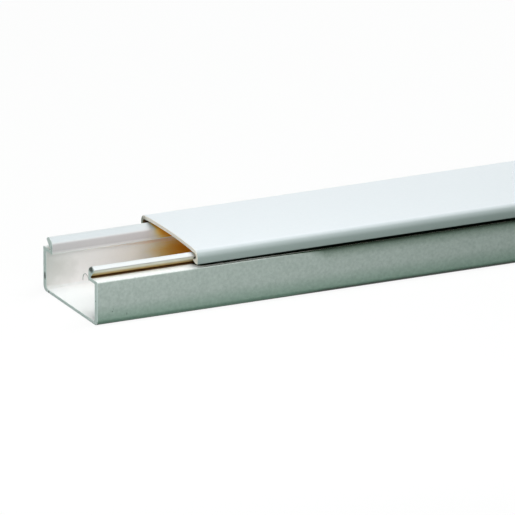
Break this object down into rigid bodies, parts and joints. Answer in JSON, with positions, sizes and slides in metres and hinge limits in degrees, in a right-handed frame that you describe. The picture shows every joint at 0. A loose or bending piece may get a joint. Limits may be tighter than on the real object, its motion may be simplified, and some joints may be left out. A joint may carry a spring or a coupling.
{
  "type": "cord cover raceway",
  "caption": "Rigid white PVC cord cover raceway: a shallow channel with hooked rims and a crowned clip-on lid, slid along so that one end of the channel stands open.",
  "frame": {"origin": "centre of the channel's flat back, the face that goes against the wall", "axes": "+X along the stock, the way the lid has been slid; +Y across the channel; +Z away from the wall face, towards the lid"},
  "size_m": [0.4325, 0.04, 0.0199],
  "materials": {
    "channel_pvc": "satin white extruded PVC, very slightly creamy where it is shaded, with sawn ends",
    "lid_pvc": "satin cool white extruded PVC with sawn ends"
  },
  "bodies": {
    "channel": {"base_channel": "channel_pvc"},
    "cover": {"lid": "lid_pvc"}
  },
  "joints": [
    {"name": "lid_slide", "type": "slide", "parent": "channel", "child": "cover", "axis": [1, 0, 0], "range_m": [-0.2325, 0.1675]}
  ]
}
